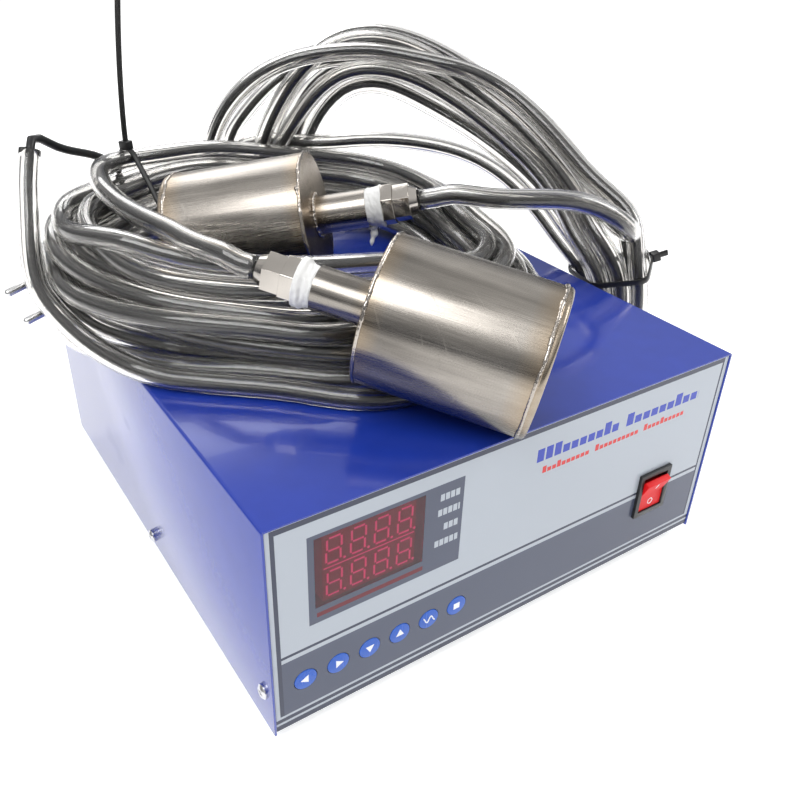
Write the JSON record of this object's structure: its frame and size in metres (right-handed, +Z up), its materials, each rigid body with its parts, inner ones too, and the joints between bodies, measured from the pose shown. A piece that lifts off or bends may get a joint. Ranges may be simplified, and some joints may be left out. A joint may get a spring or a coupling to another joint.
{
  "type": "ultrasonic generator with submersible transducers",
  "caption": "Boxed ultrasonic generator with digital display, touch keys and rocker switch, and steel can transducers on coiled clear-sleeved leads.",
  "frame": {"origin": "on the floor under the middle of the case", "axes": "+X to the right seen from the front, +Y to the back, +Z up"},
  "size_m": [0.4186, 0.4788, 0.317],
  "materials": {
    "blue_coat": "glossy powder coat",
    "zinc_sheet": "zinc plated sheet",
    "printed_film": "printed polyester film",
    "red_window": "tinted acrylic",
    "led_black": "smooth",
    "circuit_board": "solder mask",
    "key_blue": "printed",
    "black_plastic": "fine moulded grain",
    "rocker_red": "translucent moulding",
    "screw_steel": "nickel plated",
    "foot_rubber": "moulded",
    "nickel": "nickel plated brass",
    "iron_core": "varnished laminations",
    "bare_aluminium": "machined",
    "component_sleeve": "sleeved",
    "stainless": "brushed, heat tint at the welds",
    "thread_tape": "wrapped film",
    "ceramic": "fired",
    "mass_steel": "turned",
    "clear_hose": "clear flexible hose",
    "cable_black": "smooth jacket",
    "plug_black": "moulded",
    "tie_nylon": "nylon"
  },
  "bodies": {
    "root": {"case_cover": "blue_coat", "base_tray": "zinc_sheet", "front_panel": "zinc_sheet", "front_overlay": "printed_film", "display_window": "red_window", "led_modules": "led_black", "display_board": "circuit_board", "key_switches": "black_plastic", "switch_housing": "black_plastic", "cover_screws": "screw_steel", "rubber_feet": "foot_rubber", "fan_frame": "black_plastic", "fan_guard": "screw_steel", "fan_screws": "screw_steel", "mains_gland": "black_plastic", "output_sockets": "nickel", "fuse_holder": "black_plastic", "main_board": "circuit_board", "transformer": "iron_core", "heatsink": "bare_aluminium", "board_components": "component_sleeve", "t1_can": "stainless", "t1_face_plate": "stainless", "t1_neck_plate": "stainless", "t1_neck": "stainless", "t1_thread_tape": "thread_tape", "t1_gland_body": "nickel", "t1_gland_nut": "nickel", "t2_can": "stainless", "t2_face_plate": "stainless", "t2_neck_plate": "stainless", "t2_neck": "stainless", "t2_thread_tape": "thread_tape", "t2_gland_body": "nickel", "t2_gland_nut": "nickel", "front_masses": "bare_aluminium", "piezo_rings": "ceramic", "back_masses": "mass_steel", "hose_lead_1": "clear_hose", "hose_coil_1": "clear_hose", "cable_tail_1": "cable_black", "cable_plug_1": "nickel", "hose_lead_2": "clear_hose", "hose_coil_2": "clear_hose", "cable_tail_2": "cable_black", "cable_plug_2": "nickel", "mains_cord": "cable_black", "mains_coil": "cable_black", "mains_plug": "plug_black", "plug_pins": "nickel", "cable_ties": "tie_nylon"},
    "rocker": {"power_rocker": "rocker_red"},
    "rotor": {"fan_rotor": "black_plastic"},
    "fuse_carrier": {"fuse_cap": "black_plastic"},
    "key_left": {"key_left": "key_blue"},
    "key_right": {"key_right": "key_blue"},
    "key_down": {"key_down": "key_blue"},
    "key_up": {"key_up": "key_blue"},
    "key_wave": {"key_wave": "key_blue"},
    "key_stop": {"key_stop": "key_blue"}
  },
  "joints": [
    {"name": "rocker_tilt", "type": "hinge", "parent": "root", "child": "rocker", "pos_m": [0.1035, -0.1552, 0.0545], "axis": [-1, 0, 0], "range_deg": [0, 24]},
    {"name": "key_left_press", "type": "slide", "parent": "root", "child": "key_left", "axis": [0, 1, 0], "range_m": [0, 0.0005], "stiffness_N_per_m": 600},
    {"name": "key_right_press", "type": "slide", "parent": "root", "child": "key_right", "axis": [0, 1, 0], "range_m": [0, 0.0005], "stiffness_N_per_m": 600},
    {"name": "key_down_press", "type": "slide", "parent": "root", "child": "key_down", "axis": [0, 1, 0], "range_m": [0, 0.0005], "stiffness_N_per_m": 600},
    {"name": "key_up_press", "type": "slide", "parent": "root", "child": "key_up", "axis": [0, 1, 0], "range_m": [0, 0.0005], "stiffness_N_per_m": 600},
    {"name": "key_wave_press", "type": "slide", "parent": "root", "child": "key_wave", "axis": [0, 1, 0], "range_m": [0, 0.0005], "stiffness_N_per_m": 600},
    {"name": "key_stop_press", "type": "slide", "parent": "root", "child": "key_stop", "axis": [0, 1, 0], "range_m": [0, 0.0005], "stiffness_N_per_m": 600},
    {"name": "fan_spin", "type": "hinge", "parent": "root", "child": "rotor", "pos_m": [0.064, 0.146, 0.072], "axis": [0, 1, 0], "continuous": true},
    {"name": "fuse_cap_turn", "type": "hinge", "parent": "root", "child": "fuse_carrier", "pos_m": [-0.126, 0.162, 0.074], "axis": [0, -1, 0], "range_deg": [0, 60]}
  ]
}
